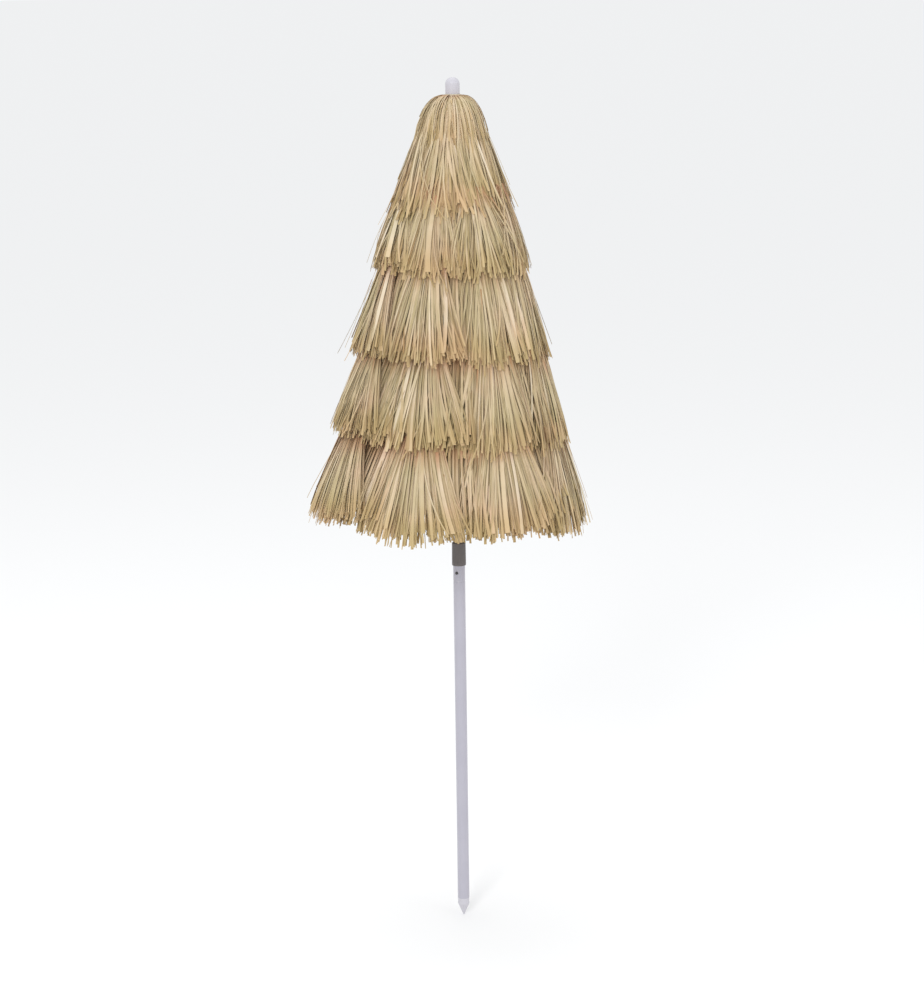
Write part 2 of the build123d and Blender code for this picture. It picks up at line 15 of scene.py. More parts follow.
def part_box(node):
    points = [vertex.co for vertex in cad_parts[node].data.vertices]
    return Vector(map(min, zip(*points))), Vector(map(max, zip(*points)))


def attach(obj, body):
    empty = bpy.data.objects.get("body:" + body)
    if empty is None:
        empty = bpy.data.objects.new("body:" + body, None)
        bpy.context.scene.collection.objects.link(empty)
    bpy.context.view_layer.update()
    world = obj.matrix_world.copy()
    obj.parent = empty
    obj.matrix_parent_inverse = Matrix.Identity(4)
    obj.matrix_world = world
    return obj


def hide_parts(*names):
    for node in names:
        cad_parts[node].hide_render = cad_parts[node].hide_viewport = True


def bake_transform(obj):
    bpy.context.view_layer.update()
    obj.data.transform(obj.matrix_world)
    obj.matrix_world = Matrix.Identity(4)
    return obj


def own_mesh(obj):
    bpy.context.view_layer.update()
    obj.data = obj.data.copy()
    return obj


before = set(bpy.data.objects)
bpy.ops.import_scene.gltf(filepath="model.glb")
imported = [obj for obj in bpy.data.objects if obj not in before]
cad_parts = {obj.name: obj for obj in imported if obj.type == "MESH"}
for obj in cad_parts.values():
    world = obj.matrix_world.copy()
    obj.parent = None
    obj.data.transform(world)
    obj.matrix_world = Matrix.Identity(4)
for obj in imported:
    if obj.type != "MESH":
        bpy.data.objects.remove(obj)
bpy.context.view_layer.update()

logging.basicConfig(level=logging.INFO, format="%(message)s")
log = logging.getLogger("umbrella")

Pair = tuple[float, float]
Colour = tuple[float, float, float, float]
Socket = bpy.types.NodeSocket

CROWN_HEIGHT = 1.926
PIVOT_RADIUS = 0.024
OPEN_LEAN = math.radians(68.3)
LEAF_SPAN = math.radians(22.5)
CLOTH_LENGTH = 0.900
LEANS = {"gore": 13.2, "rib": 10.29}  # degrees from upright, folded
RING_WIRE_RADIUS = 0.0019
RUNNER_RING = 0.058  # height of the ring wire above the runner's foot
FLOOR_HALF_SIDE = 900.0


def paint(red: int, green: int, blue: int) -> Colour:
    """Turn a mixed paint into the linear colour that the shaders use.

    Args:
        red: the red share, 0 to 255.
        green: the green share, 0 to 255.
        blue: the blue share, 0 to 255.

    Returns:
        The linear colour, opaque.
    """
    shares = [c / 255 for c in (red, green, blue)]
    linear = [c / 12.92 if c <= 0.04045 else ((c + 0.055) / 1.055) ** 2.4 for c in shares]
    return (linear[0], linear[1], linear[2], 1.0)


# ---- node trees


def _operator(operation: str, swap: bool = False) -> Callable[["Number", "Number | float"], "Number"]:
    """Make the method behind one sign of arithmetic.

    Args:
        operation: the name of the Math node's operation.
        swap: True where the other value comes first.

    Returns:
        The method.
    """
    def method(self: "Number", other: "Number | float") -> "Number":
        """Return the result of the operation."""
        return self.wiring.math(operation, *((other, self) if swap else (self, other)))

    return method


class Number:
    """A value that changes over a node tree, so that a sum of values reads as a sum."""

    def __init__(self, wiring: "Wiring", socket: Socket) -> None:
        """Keep the tree's wiring and the socket that the value comes from."""
        self.wiring = wiring
        self.socket = socket

    __add__ = __radd__ = _operator("ADD")
    __sub__, __rsub__ = _operator("SUBTRACT"), _operator("SUBTRACT", swap=True)
    __mul__ = __rmul__ = _operator("MULTIPLY")
    __truediv__ = _operator("DIVIDE")

    def __neg__(self) -> "Number":
        """Return the value with its sign changed."""
        return self * -1.0


class Wiring:
    """Adds nodes to one tree and joins them."""

    def __init__(self, tree: bpy.types.NodeTree) -> None:
        """Keep the tree."""
        self.tree = tree

    def add(self, kind: str, **settings: object) -> bpy.types.Node:
        """Add a node.

        Args:
            kind: the node's type name.
            settings: properties to set on it.

        Returns:
            The new node.
        """
        node = self.tree.nodes.new(kind)
        for name, value in settings.items():
            setattr(node, name, value)
        return node

    def plug(self, socket: Socket, value: object) -> None:
        """Link a value, a socket or a constant to an input."""
        if isinstance(value, Number):
            value = value.socket
        if isinstance(value, Socket):
            self.tree.links.new(value, socket)
        else:
            socket.default_value = value

    def put(self, node: bpy.types.Node, values: dict[str, object]) -> bpy.types.Node:
        """Plug values or constants into a node's inputs by name, and return the node."""
        for name, value in values.items():
            self.plug(node.inputs[name], value)
        return node

    def bump(self, strength: float, distance: float, height: Number) -> Socket:
        """Return the normals of a relief."""
        node = self.add("ShaderNodeBump")
        return self.put(node, {"Strength": strength, "Distance": distance, "Height": height}).outputs[0]

    def math(self, operation: str, *values: "Number | float") -> Number:
        """Add one sum.

        Args:
            operation: the name of the Math node's operation.
            values: its inputs, in order.

        Returns:
            The sum's result.
        """
        node = self.add("ShaderNodeMath", operation=operation)
        for socket, value in zip(node.inputs, values):
            self.plug(socket, value)
        return Number(self, node.outputs[0])

    def clamp(self, value: Number, low: float = 0.0, high: float = 1.0) -> Number:
        """Return a value held between two limits."""
        return self.math("MINIMUM", self.math("MAXIMUM", value, low), high)

    def split(self, socket: Socket) -> tuple[Number, Number, Number]:
        """Return the three parts of a vector."""
        node = self.add("ShaderNodeSeparateXYZ")
        self.plug(node.inputs[0], socket)
        return tuple(Number(self, s) for s in node.outputs)

    def join(self, x: "Number | float", y: "Number | float", z: "Number | float") -> Socket:
        """Return a vector made of three values."""
        node = self.add("ShaderNodeCombineXYZ")
        for socket, value in zip(node.inputs, (x, y, z)):
            self.plug(socket, value)
        return node.outputs[0]

    def blend_colours(self, share: object, first: object, second: object, kind: str = "MIX") -> Socket:
        """Mix two colours.

        Args:
            share: how much of the second colour.
            first: the first colour, or its socket.
            second: the second colour, or its socket.
            kind: how they are mixed.

        Returns:
            The socket of the mixed colour.
        """
        node = self.add("ShaderNodeMix", data_type="RGBA", blend_type=kind)
        self.plug(node.inputs[0], share)
        self.plug(node.inputs[6], first)
        self.plug(node.inputs[7], second)
        return node.outputs[2]

    def noise(self, vector: Socket, scale: object, detail: float = 2.0) -> Number:
        """Return the strength of a noise pattern, 0 to 1, with a middle of a half."""
        node = self.add("ShaderNodeTexNoise")
        return Number(self, self.put(node, {"Vector": vector, "Scale": scale, "Detail": detail}).outputs["Fac"])

    def sockets(self, way: str, kinds: dict[str, str]) -> None:
        """Give a group its named inputs or outputs.

        Args:
            way: INPUT or OUTPUT.
            kinds: socket type by socket name.
        """
        for name, kind in kinds.items():
            self.tree.interface.new_socket(name=name, in_out=way, socket_type=kind)


# ---- leaves


class LeafKind(Enum):
    """Which strip of the canopy a leaf covers."""

    GORE = "gore"
    RIB = "rib"


@dataclass(frozen=True)
class Leaf:
    """One of sixteen strips of the canopy, from crown to hem, which opens as one piece."""

    kind: LeafKind
    number: int

    @property
    def azimuth(self) -> float:
        """Direction in which the leaf opens, in radians from +X."""
        shift = 22.5 if self.kind is LeafKind.GORE else 0.0
        return math.radians((270.0 + 45.0 * (self.number - 1) + shift) % 360.0)

    @property
    def lean(self) -> float:
        """How far the folded leaf leans out from upright, in radians."""
        return math.radians(LEANS[self.kind.value])

    @property
    def body(self) -> str:
        """The body that carries the leaf."""
        return f"{self.kind.value}_{self.number}"

    @property
    def hem_body(self) -> str:
        """The body that hangs from the leaf's hem."""
        return ("fringe_" if self.kind is LeafKind.GORE else "rib_fringe_") + str(self.number)

    @property
    def outward(self) -> Vector:
        """Level direction away from the pole."""
        return Vector((math.cos(self.azimuth), math.sin(self.azimuth), 0.0))

    @property
    def slope(self) -> Vector:
        """Direction down the folded leaf."""
        return self.outward * math.sin(self.lean) - Vector((0, 0, math.cos(self.lean)))

    @property
    def normal(self) -> Vector:
        """Direction square to the folded leaf, outwards."""
        return self.outward * math.cos(self.lean) + Vector((0, 0, math.sin(self.lean)))

    @property
    def pivot(self) -> Vector:
        """The leaf's hinge at the crown."""
        return self.outward * PIVOT_RADIUS + Vector((0, 0, CROWN_HEIGHT))

    @property
    def hem(self) -> Vector:
        """The middle of the leaf's hem."""
        return self.pivot + self.slope * CLOTH_LENGTH

    def down(self, radius: float, height: float) -> float:
        """Return how far down the leaf a folded point lies."""
        return (radius - PIVOT_RADIUS) * math.sin(self.lean) + (CROWN_HEIGHT - height) * math.cos(self.lean)

    def half_width(self, down: float) -> float:
        """Return half the leaf's width at a distance down it."""
        return (PIVOT_RADIUS + max(down, 0.0) * math.sin(OPEN_LEAN)) * math.tan(LEAF_SPAN / 2)

    def half_angle(self, radius: float, height: float, fill: float) -> float:
        """Return the half angle that covers a share of the open leaf's width, at a folded point."""
        return math.asin(min(fill * self.half_width(self.down(radius, height)) / radius, 0.75))

    def flatten(self, piece: bpy.types.Object, keep: float) -> None:
        """Give a piece its own copy of its mesh."""
        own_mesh(piece)


def all_leaves() -> list[Leaf]:
    """Return the sixteen leaves, in turn round the pole."""
    return [Leaf(kind, n) for n in range(1, 9) for kind in (LeafKind.RIB, LeafKind.GORE)]


# ---- shader groups


def fine_grain_group() -> bpy.types.NodeTree:
    """Make the group for the fine grain of a coated or moulded surface.

    Returns:
        The group, which puts out a colour, a roughness and a height.
    """
    tree = bpy.data.node_groups.new("fine_grain", "ShaderNodeTree")
    w = Wiring(tree)
    w.sockets("INPUT", {"Colour": "NodeSocketColor", "Tint": "NodeSocketColor", "Grain Scale": "NodeSocketFloat",
                        "Roughness": "NodeSocketFloat", "Spread": "NodeSocketFloat"})
    w.sockets("OUTPUT", {"Colour": "NodeSocketColor", "Roughness": "NodeSocketFloat", "Height": "NodeSocketFloat"})
    source, result = w.add("NodeGroupInput"), w.add("NodeGroupOutput")
    place = w.add("ShaderNodeTexCoord").outputs["Object"]
    grain = w.noise(place, source.outputs["Grain Scale"], 3.0)
    cloud = w.noise(place, 9.0, 3.0)
    share = w.clamp((cloud - 0.42) * 2.2)
    w.plug(result.inputs["Colour"], w.blend_colours(share, source.outputs["Colour"], source.outputs["Tint"]))
    spread = Number(w, source.outputs["Spread"])
    w.plug(result.inputs["Roughness"],
           w.clamp(Number(w, source.outputs["Roughness"]) + (grain + cloud - 1.0) * spread, 0.03))
    w.plug(result.inputs["Height"], grain)
    return tree


def handling_group() -> bpy.types.NodeTree:
    """Make the group for hairline scuffs from handling.

    Returns:
        The group, which puts out a mask.
    """
    tree = bpy.data.node_groups.new("handling_scuffs", "ShaderNodeTree")
    w = Wiring(tree)
    w.sockets("INPUT", {"Amount": "NodeSocketFloat", "Length": "NodeSocketFloat"})
    w.sockets("OUTPUT", {"Mask": "NodeSocketFloat"})
    source, result = w.add("NodeGroupInput"), w.add("NodeGroupOutput")
    x, y, z = w.split(w.add("ShaderNodeTexCoord").outputs["Object"])
    length = Number(w, source.outputs["Length"])
    upright = w.noise(w.join(x * 900.0, y * 900.0, z / length), 1.0, 2.0)
    round_it = w.noise(w.join(x / length, y / length, z * 1400.0), 1.0, 2.0)
    patches = w.noise(w.join(x * 14.0, y * 14.0, z * 10.0), 1.0, 2.0)
    marks = w.clamp((w.math("MAXIMUM", upright, round_it) - 0.66) * 9.0)
    w.plug(result.inputs["Mask"],
           w.clamp(marks * w.clamp((patches - 0.4) * 4.0) * Number(w, source.outputs["Amount"])))
    return tree


# ---- finishes


def start_material(name: str) -> tuple[bpy.types.Material, Wiring]:
    """Make an empty material.

    Args:
        name: its name.

    Returns:
        The material and its wiring.
    """
    material = bpy.data.materials.new(name)
    material.use_nodes = True
    material.node_tree.nodes.clear()
    return material, Wiring(material.node_tree)


def finish_material(w: Wiring, inputs: dict[str, object]) -> None:
    """Join a surface with the given inputs to the material's output."""
    shader = w.put(w.add("ShaderNodeBsdfPrincipled"), inputs)
    w.put(w.add("ShaderNodeOutputMaterial"), {"Surface": shader.outputs[0]})


@dataclass(frozen=True)
class Coated:
    """A hard finish: enamel, moulded plastic or plated wire, with grain and hairline scuffs."""

    name: str
    colour: Colour
    tint: Colour
    scuff: Colour
    grain_scale: float
    grain_depth: float
    roughness: float
    spread: float
    scuffs: float = 0.5
    scuff_length: float = 0.03
    metallic: float = 0.0
    coat: float = 0.0
    ring_height: float | None = None

    def make(self, grain: bpy.types.NodeTree, handling: bpy.types.NodeTree) -> bpy.types.Material:
        """Build the material.

        Args:
            grain: the group for fine grain.
            handling: the group for scuffs.

        Returns:
            The finished material.
        """
        material, w = start_material(self.name)
        surface = w.put(w.add("ShaderNodeGroup", node_tree=grain), {
            "Colour": self.colour, "Tint": self.tint, "Grain Scale": self.grain_scale,
            "Roughness": self.roughness, "Spread": self.spread})
        marks = w.put(w.add("ShaderNodeGroup", node_tree=handling),
                      {"Amount": self.scuffs, "Length": self.scuff_length})
        mask = Number(w, marks.outputs["Mask"])
        colour = w.blend_colours(mask, surface.outputs["Colour"], self.scuff)
        roughness = w.clamp(Number(w, surface.outputs["Roughness"]) + mask * 0.15)
        metallic = self.metallic
        if self.ring_height is not None:
            x, y, z = w.split(w.add("ShaderNodeTexCoord").outputs["Object"])
            away = w.math("SQRT", x * x + y * y) - PIVOT_RADIUS
            up = z - self.ring_height
            wire = w.math("LESS_THAN", away * away + up * up, RING_WIRE_RADIUS**2)
            colour = w.blend_colours(wire, colour, paint(178, 180, 182))
            roughness = roughness * (1.0 - wire * 0.3)
            metallic = wire
        finish_material(w, {
            "Base Color": colour, "Roughness": roughness, "Metallic": metallic, "Coat Weight": self.coat,
            "Coat Roughness": 0.12, "Specular IOR Level": 0.5,
            "Normal": w.bump(0.6, self.grain_depth, Number(w, surface.outputs["Height"]) - mask * 0.4)})
        return material


@dataclass(frozen=True)
class Raffia:
    """Dried raffia: flat strands with fibres along them, each its own shade of straw."""

    name: str = "raffia_straw"
    tones: tuple[tuple[float, Colour], ...] = (
        (0.00, paint(162, 139, 98)),
        (0.22, paint(174, 155, 116)),
        (0.48, paint(188, 170, 132)),
        (0.72, paint(202, 182, 147)),
        (0.90, paint(210, 192, 160)),
        (1.00, paint(219, 204, 178)),
    )
    green: Colour = paint(176, 166, 120)
    rose: Colour = paint(214, 182, 154)
    # painted shadow: orange-brown multiplied in under each tier above and in the shaded valleys
    shadow: Colour = paint(206, 122, 58)
    # painted sheen: a pale cream mixed over the middle of each strand
    bloom: Colour = paint(226, 214, 194)
    gold: Colour = paint(236, 214, 152)
    roughness: float = 0.72

    def make(self) -> bpy.types.Material:
        """Return the finished material, which reads the strands' own attributes."""
        material, w = start_material(self.name)
        across, along, lot = w.split(w.add("ShaderNodeAttribute", attribute_name="fibre").outputs["Vector"])
        tone = Number(w, w.add("ShaderNodeAttribute", attribute_name="tone").outputs["Fac"])
        shade = Number(w, w.add("ShaderNodeAttribute", attribute_name="shade").outputs["Fac"])
        fibres = w.noise(w.join(across * 2.6 + lot * 43.0, along * 1.6 + lot * 7.0, lot * 91.0), 1.6, 4.0)
        blotches = w.noise(w.join(lot * 31.0, along * 5.0, lot * 17.0), 1.0, 2.0)
        ramp = w.add("ShaderNodeValToRGB")
        ramp.color_ramp.elements[0].position, ramp.color_ramp.elements[0].color = self.tones[0]
        ramp.color_ramp.elements[1].position, ramp.color_ramp.elements[1].color = self.tones[-1]
        for place, colour in self.tones[1:-1]:
            ramp.color_ramp.elements.new(place).color = colour
        w.plug(ramp.inputs[0], w.clamp(tone + (fibres - 0.5) * 0.4 + (blotches - 0.5) * 0.3))
        patches = w.noise(w.add("ShaderNodeTexCoord").outputs["Object"], 11.0, 2.0) + (lot - 0.5) * 0.16
        colour = w.blend_colours(w.clamp((0.50 - patches) * 2.2, 0.0, 0.3), ramp.outputs[0], self.green)
        colour = w.blend_colours(w.clamp((patches - 0.53) * 2.2, 0.0, 0.32), colour, self.rose)
        # painted sheen across the middle of each strand, broken up by blotches
        bloom = w.clamp(1.0 - w.math("ABSOLUTE", along - 0.42) * 3.2) * w.clamp((blotches - 0.35) * 1.6)
        colour = w.blend_colours(bloom * 0.34, colour, self.bloom)
        colour = w.blend_colours(w.clamp((along - 0.66) * 1.6, 0.0, 0.36), colour, self.gold, "MULTIPLY")
        # painted shade: the roots under the tier above and strands with a low shade value are darkened
        tucked_shade = w.clamp(w.clamp(0.30 - along) * 1.9 + (1.0 - shade) * 0.8)
        colour = w.blend_colours(tucked_shade, colour, self.shadow, "MULTIPLY")
        finish_material(w, {
            "Base Color": colour, "Roughness": w.clamp(self.roughness + (fibres - 0.5) * 0.3),
            "Specular IOR Level": 0.3, "Sheen Weight": 0.12, "Sheen Roughness": 0.5,
            "Normal": w.bump(0.4, 0.0006, fibres)})
        return material


@dataclass(frozen=True)
class WovenCloth:
    """Natural canopy cloth in a plain weave, with a row of stitches along its hem."""

    name: str = "canopy_weave"
    warp: Colour = paint(214, 202, 178)
    weft: Colour = paint(196, 182, 156)
    thread: Colour = paint(236, 230, 216)
    pitch: float = 0.0011

    def make(self) -> bpy.types.Material:
        """Return the finished material, which reads the panels' own UV map in metres."""
        material, w = start_material(self.name)
        u, v, _ = w.split(w.add("ShaderNodeTexCoord").outputs["UV"])
        turns = math.pi / self.pitch
        over = w.math("SINE", u * turns) * w.math("SINE", v * turns)
        slubs = w.noise(w.join(u * 60.0, v * 900.0, 0.0), 1.0, 2.0)
        worn = w.noise(w.join(u * 5.0, v * 5.0, 0.0), 1.0, 3.0)
        cloth = w.blend_colours(w.clamp(over * 0.5 + 0.5), self.warp, self.weft)
        cloth = w.blend_colours(w.clamp((slubs - 0.5) * 1.4), cloth, paint(172, 156, 128))
        cloth = w.blend_colours(w.clamp((worn - 0.45) * 1.2), cloth, paint(226, 216, 196))
        seam = w.math("LESS_THAN", w.math("ABSOLUTE", v - 0.884), 0.0007)
        dashes = w.math("LESS_THAN", w.math("FRACT", u / 0.0045), 0.68)
        cloth = w.blend_colours(seam * dashes, cloth, self.thread)
        finish_material(w, {
            "Base Color": cloth, "Roughness": w.clamp(0.82 + (slubs - 0.5) * 0.2), "Specular IOR Level": 0.2,
            "Sheen Weight": 0.2, "Normal": w.bump(0.5, 0.0004, over * 0.5 + slubs * 0.4 + seam * dashes * 1.5)})
        return material


# the pole's white enamel is laid on greyer than white: painted shade from the canopy and the back light
WHITE_ENAMEL = Coated("pole_enamel", paint(176, 174, 185), paint(166, 164, 176), paint(142, 141, 148),
                      1800.0, 0.00004, 0.30, 0.10, scuffs=0.55, scuff_length=0.05, coat=0.35)
RIB_ENAMEL = Coated("rib_enamel", paint(220, 219, 222), paint(208, 207, 212), paint(160, 160, 164),
                    1500.0, 0.00004, 0.38, 0.10, scuffs=0.7, scuff_length=0.04, coat=0.2)
WHITE_PLASTIC = Coated("white_moulding", paint(196, 194, 201), paint(186, 184, 192), paint(166, 164, 168),
                       2600.0, 0.00006, 0.42, 0.08, scuffs=0.5, scuff_length=0.02)
HUB_PLASTIC = Coated("hub_moulding", paint(222, 220, 218), paint(210, 207, 204), paint(180, 177, 172),
                     2200.0, 0.00007, 0.48, 0.08, scuffs=0.6, scuff_length=0.015)
CROWN_PLASTIC = replace(HUB_PLASTIC, name="crown_moulding", ring_height=CROWN_HEIGHT)
# grey moulding, laid on darker still as painted shade from the canopy above
COLLAR_PLASTIC = Coated("collar_moulding", paint(104, 98, 96), paint(92, 87, 85), paint(136, 131, 128),
                        1900.0, 0.00009, 0.52, 0.10, scuffs=0.6, scuff_length=0.012)
BUTTON_PLASTIC = Coated("button_moulding", paint(62, 60, 60), paint(48, 47, 48), paint(120, 118, 116),
                        2500.0, 0.00005, 0.40, 0.10, scuffs=0.8, scuff_length=0.004)
ZINC = Coated("zinc_plate", paint(184, 187, 190), paint(160, 164, 170), paint(214, 216, 218),
              420.0, 0.00003, 0.34, 0.14, scuffs=0.8, scuff_length=0.01, metallic=1.0)


class Finishes:
    """All the materials, each built once."""

    def __init__(self) -> None:
        """Build the shader groups and the materials."""
        grain, handling = fine_grain_group(), handling_group()
        self.raffia = Raffia().make()
        self.cloth = WovenCloth().make()
        runner_plastic = replace(HUB_PLASTIC, name="runner_moulding", ring_height=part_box("runner")[0][2] + RUNNER_RING)
        self.hard = {finish.name: finish.make(grain, handling)
                     for finish in (WHITE_ENAMEL, RIB_ENAMEL, WHITE_PLASTIC, HUB_PLASTIC, CROWN_PLASTIC,
                                    COLLAR_PLASTIC, BUTTON_PLASTIC, ZINC, runner_plastic)}
        log.info("finishes: %d materials", len(self.hard) + 2)


# ---- meshes


def place_mesh(name: str, mesh: bpy.types.Mesh) -> bpy.types.Object:
    """Put a mesh in the scene as a piece at the origin.

    Args:
        name: the piece's name.
        mesh: its mesh.

    Returns:
        The new object.
    """
    piece = bpy.data.objects.new(name, mesh)
    bpy.context.scene.collection.objects.link(piece)
    return piece


def turned_mesh(name: str, profile: Sequence[Pair], sides: int = 64) -> bpy.types.Mesh:
    """Turn a closed profile about the pole's axis.

    Args:
        name: the mesh's name.
        profile: radius and height along the outline, from the axis at the bottom to the axis at the top.
        sides: how many steps round.

    Returns:
        A closed mesh with smooth faces.
    """
    bm = bmesh.new()
    rings: list[list[bmesh.types.BMVert]] = []
    for radius, height in profile:
        if radius < 1e-6:
            rings.append([bm.verts.new((0.0, 0.0, height))])
        else:
            turn = 2 * math.pi / sides
            rings.append([bm.verts.new((radius * math.cos(i * turn), radius * math.sin(i * turn), height))
                          for i in range(sides)])
    for low, high in zip(rings, rings[1:]):
        for i in range(sides):
            a, b = low[i % len(low)], low[(i + 1) % len(low)]
            c, d = high[(i + 1) % len(high)], high[i % len(high)]
            corners = list(dict.fromkeys((a, b, c, d)))
            if len(corners) > 2:
                bm.faces.new(corners)
    bmesh.ops.recalc_face_normals(bm, faces=bm.faces[:])
    for face in bm.faces:
        face.smooth = True
    mesh = bpy.data.meshes.new(name)
    bm.to_mesh(mesh)
    bm.free()
    return mesh


# ---- thatch


@dataclass(frozen=True)
class Layer:
    """One layer of strands on a leaf: where they start and end, and how they vary."""

    strands: int
    seed: int
    azimuth: float
    root_angle: float
    tip_angle: float
    root: Pair
    shoulder: Pair
    fall: Pair
    tip: Pair
    inset: float = 0.0
    scatter: float = 0.010
    ragged: float = 0.06
    start: float = 0.15
    lock_depth: float = 0.0
    lock_lift: float = 0.0
    locks: int = 5
    lean: float = math.radians(2.2)
    curl: float = 0.006
    tilt: float = math.radians(30)
    width: float = 0.0040
    thickness: float = 0.0009
    # painted shade: below 1 darkens a whole layer, used for the inner cover layers
    shade: float = 1.0
    tone: float = 0.0


class StrandTree:
    """The geometry nodes that lay one layer of strands."""

    floats = ("Azimuth", "Root Angle", "Tip Angle", "Inset", "Scatter", "Ragged", "Start", "Lock Depth",
              "Lock Lift", "Lean", "Curl", "Tilt", "Width", "Thickness", "Shade", "Tone")
    vectors = ("Root", "Shoulder", "Fall", "Tip")

    def __init__(self, finish: bpy.types.Material) -> None:
        """Build the tree.

        Args:
            finish: the material that the strands are made of.
        """
        self.finish = finish
        self.tree = bpy.data.node_groups.new("strand_layer", "GeometryNodeTree")
        self.w = Wiring(self.tree)
        self.w.sockets("INPUT", {"Geometry": "NodeSocketGeometry", "Strands": "NodeSocketInt",
                                 "Seed": "NodeSocketInt", "Locks": "NodeSocketInt"})
        self.w.sockets("INPUT", {name: "NodeSocketFloat" for name in self.floats})
        self.w.sockets("INPUT", {name: "NodeSocketVector" for name in self.vectors})
        self.w.sockets("INPUT", {"Finish": "NodeSocketMaterial"})
        self.w.sockets("OUTPUT", {"Geometry": "NodeSocketGeometry"})
        self.source = self.w.add("NodeGroupInput")
        self._build()

    def _value(self, name: str) -> Number:
        """Return one of the tree's inputs."""
        return Number(self.w, self.source.outputs[name])

    def _chance(self, low: float, high: float, salt: int, who: Number) -> Number:
        """Return a random value that stays the same for the same strand or lock.

        Args:
            low: the least value.
            high: the greatest value.
            salt: added to the seed, so that values don't repeat each other.
            who: the number of the strand or lock.

        Returns:
            The random value.
        """
        node = self.w.add("FunctionNodeRandomValue", data_type="FLOAT")
        used = {s.name: s for s in node.inputs if s.enabled}
        used["Min"].default_value, used["Max"].default_value = low, high
        self.w.plug(used["ID"], who)
        self.w.plug(used["Seed"], self._value("Seed") + float(salt))
        return Number(self.w, next(s for s in node.outputs if s.enabled))

    def _store(self, flow: Socket, name: str, kind: str, domain: str, value: object) -> Socket:
        """Store a named attribute on the geometry and return the geometry."""
        node = self.w.add("GeometryNodeStoreNamedAttribute", data_type=kind, domain=domain)
        self.w.plug(node.inputs["Geometry"], flow)
        node.inputs["Name"].default_value = name
        self.w.plug(next(s for s in node.inputs if s.name == "Value" and s.enabled), value)
        return node.outputs["Geometry"]

    def _bezier(self, along: Number, parts: Sequence[Number]) -> tuple[Number, Number]:
        """Return the value and the slope of a cubic curve through four numbers."""
        back = 1.0 - along
        p0, p1, p2, p3 = parts
        value = (back * back * back * p0 + back * back * along * 3.0 * p1
                 + back * along * along * 3.0 * p2 + along * along * along * p3)
        slope = back * back * (p1 - p0) + back * along * 2.0 * (p2 - p1) + along * along * (p3 - p2)
        return value, slope

    def _build(self) -> None:
        """Lay the nodes: blades at the origin, numbered, then bent along their paths."""
        w, v, c = self.w, self._value, self._chance
        row = w.put(w.add("GeometryNodeMeshLine", mode="OFFSET", count_mode="TOTAL"),
                    {"Count": self.source.outputs["Strands"], "Offset": (0.0, 0.0, 0.0)})
        blade = w.put(w.add("GeometryNodeMeshCylinder", fill_type="NGON"),
                      {"Vertices": 4, "Side Segments": 6, "Radius": 1.0, "Depth": 1.0})
        scattered = w.put(w.add("GeometryNodeInstanceOnPoints"),
                          {"Points": row.outputs["Mesh"], "Instance": blade.outputs["Mesh"]})
        flow = self._store(scattered.outputs["Instances"], "strand", "INT", "INSTANCE",
                           w.add("GeometryNodeInputIndex").outputs[0])
        real = w.add("GeometryNodeRealizeInstances")
        w.plug(real.inputs[0], flow)
        flow = real.outputs[0]

        number = w.add("GeometryNodeInputNamedAttribute", data_type="INT")
        number.inputs["Name"].default_value = "strand"
        strand = Number(w, next(s for s in number.outputs if s.enabled and s.name == "Attribute"))
        thick, across, height = w.split(w.add("GeometryNodeInputPosition").outputs[0])
        along = 0.5 - height
        side = ((strand + c(0, 1, 1, strand)) / v("Strands")) * 2.0 - 1.0
        lock = w.math("FLOOR", (side + 1.0) * 0.5 * v("Locks"))

        ragged, scatter = v("Ragged"), v("Scatter")
        begin = c(0, 1, 2, strand) * c(0, 1, 3, strand) * v("Start")
        reach = 1.0 + (c(-1, 1, 4, strand) + c(-0.8, 0.8, 5, lock)) * ragged
        path = begin + (reach - begin) * along
        ends = [w.split(self.source.outputs[name]) for name in self.vectors]
        radius, out = self._bezier(path, [e[0] for e in ends])
        level, drop = self._bezier(path, [e[2] for e in ends])
        length = w.math("SQRT", out * out + drop * drop)
        square_out, square_up = -drop / length, out / length

        buried = c(0, 1, 6, strand)
        edge = side * side * path
        offset = (c(-0.5, 0.5, 7, lock) * scatter * path - buried * scatter - v("Inset")
                  - v("Lock Depth") * edge + c(-1, 1, 8, strand) * v("Curl") * path * path)
        lean = (c(-0.6, 0.6, 9, strand) + c(-1, 1, 10, lock)) * v("Lean")
        angle = side * (v("Root Angle") + (v("Tip Angle") - v("Root Angle")) * path)
        bow = c(-1, 1, 16, strand) * path * (1.0 - path) * 1.6 * v("Lean")
        azimuth = v("Azimuth") + angle + lean * path + bow

        plump = c(0, 1, 11, strand)
        half = (0.62 + plump * plump * 0.85) * v("Width") * 0.5 * (0.8 + along * 0.2)
        twist = c(-1, 1, 12, strand) * v("Tilt")
        sine, cosine = w.math("SINE", twist), w.math("COSINE", twist)
        a, b = thick * v("Thickness") * 0.5, across * half
        lift = a * cosine - b * sine + offset
        slide = a * sine + b * cosine
        far = radius + lift * square_out
        up = level + lift * square_up + v("Lock Lift") * edge
        east, north = w.math("COSINE", azimuth), w.math("SINE", azimuth)
        place = w.join(far * east - slide * north, far * north + slide * east, up)

        flow = self._store(flow, "fibre", "FLOAT_VECTOR", "POINT",
                           w.join(across, along, c(0, 1, 13, strand)))
        flow = self._store(flow, "tone", "FLOAT", "POINT",
                           c(0, 1, 14, strand) * 0.56 + c(0, 1, 15, lock) * 0.26
                           + plump * plump * plump * 0.26 + v("Tone"))
